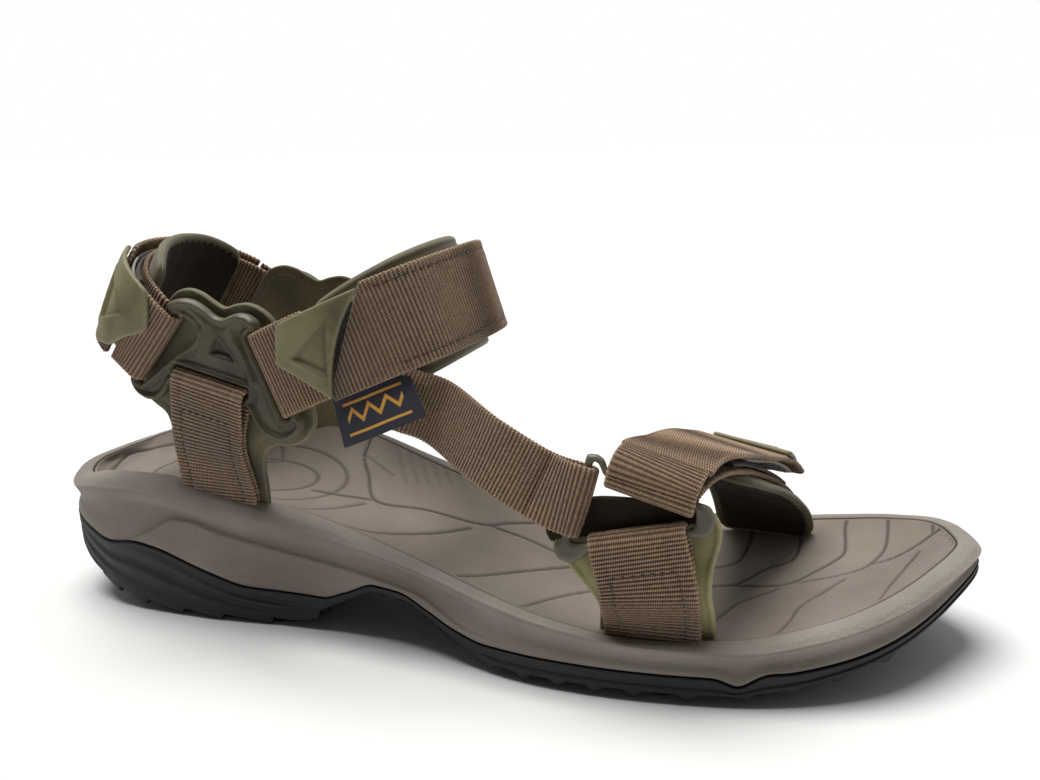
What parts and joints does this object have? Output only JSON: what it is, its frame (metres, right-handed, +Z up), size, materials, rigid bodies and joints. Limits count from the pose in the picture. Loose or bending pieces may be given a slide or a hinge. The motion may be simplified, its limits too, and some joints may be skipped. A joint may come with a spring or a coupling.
{
  "type": "strappy sport sandal",
  "caption": "Right strappy sport sandal: contoured foam sole on a lugged rubber outsole, webbing straps on moulded hubs with hook-and-loop closures at heel, instep and forefoot.",
  "frame": {"origin": "middle of the footprint, on the ground", "axes": "+X heel to toe, +Y outer (lateral) to inner (medial) side, +Z up"},
  "size_m": [0.305, 0.1032, 0.124],
  "materials": {
    "outsole_rubber": "matte",
    "midsole_foam": "matte, grained",
    "footbed_foam": "matte, textured",
    "shank_nylon": "matte",
    "shock_pad_gel": "matte",
    "hub_polymer": "satin",
    "pad_cover": "matte",
    "webbing": "ribbed weave",
    "hook_and_loop": "matte",
    "tab_polymer": "satin",
    "label_cloth": "matte",
    "ring_polymer": "satin"
  },
  "bodies": {
    "sandal": {"outsole": "outsole_rubber", "midsole": "midsole_foam", "footbed": "footbed_foam", "shank": "shank_nylon", "heel_shock_pad": "shock_pad_gel", "lateral_hub": "hub_polymer", "medial_hub": "hub_polymer", "lateral_hub_pad": "pad_cover", "medial_hub_pad": "pad_cover", "lateral_anchor_webbing": "webbing", "medial_anchor_webbing": "webbing", "heel_strap_webbing": "webbing", "heel_collar_pad": "pad_cover", "heel_loop_patch": "hook_and_loop", "heel_closure_strap": "webbing", "instep_strap_webbing": "webbing", "instep_pad": "pad_cover", "instep_loop_patch": "hook_and_loop", "instep_closure_strap": "webbing", "side_strap": "webbing", "side_label": "label_cloth", "toe_ring": "ring_polymer", "lateral_toe_anchor_webbing": "webbing", "lateral_toe_pad": "pad_cover", "toe_strap_webbing": "webbing", "toe_strap_pad": "pad_cover", "toe_loop_patch": "hook_and_loop"},
    "heel_flap": {"heel_closure_flap": "webbing", "heel_hook_patch": "hook_and_loop", "heel_pull_tab": "tab_polymer"},
    "instep_flap": {"instep_closure_flap": "webbing", "instep_hook_patch": "hook_and_loop", "instep_pull_tab": "tab_polymer"},
    "toe_flap": {"toe_closure_flap": "webbing", "toe_hook_patch": "hook_and_loop", "toe_pull_tab": "tab_polymer"}
  },
  "joints": [
    {"name": "heel_flap_peel", "type": "hinge", "parent": "sandal", "child": "heel_flap", "pos_m": [-0.11763, 0.02241, 0.10713], "axis": [-0.5337, 0.0038, -0.8457], "range_deg": [0, 80]},
    {"name": "instep_flap_peel", "type": "hinge", "parent": "sandal", "child": "instep_flap", "pos_m": [0.00178, 0.00987, 0.10677], "axis": [-0.2839, 0.0225, 0.9586], "range_deg": [0, 80]},
    {"name": "toe_flap_peel", "type": "hinge", "parent": "sandal", "child": "toe_flap", "pos_m": [0.06738, -0.04009, 0.06839], "axis": [0.9547, -0.2049, -0.216], "range_deg": [0, 85]}
  ]
}
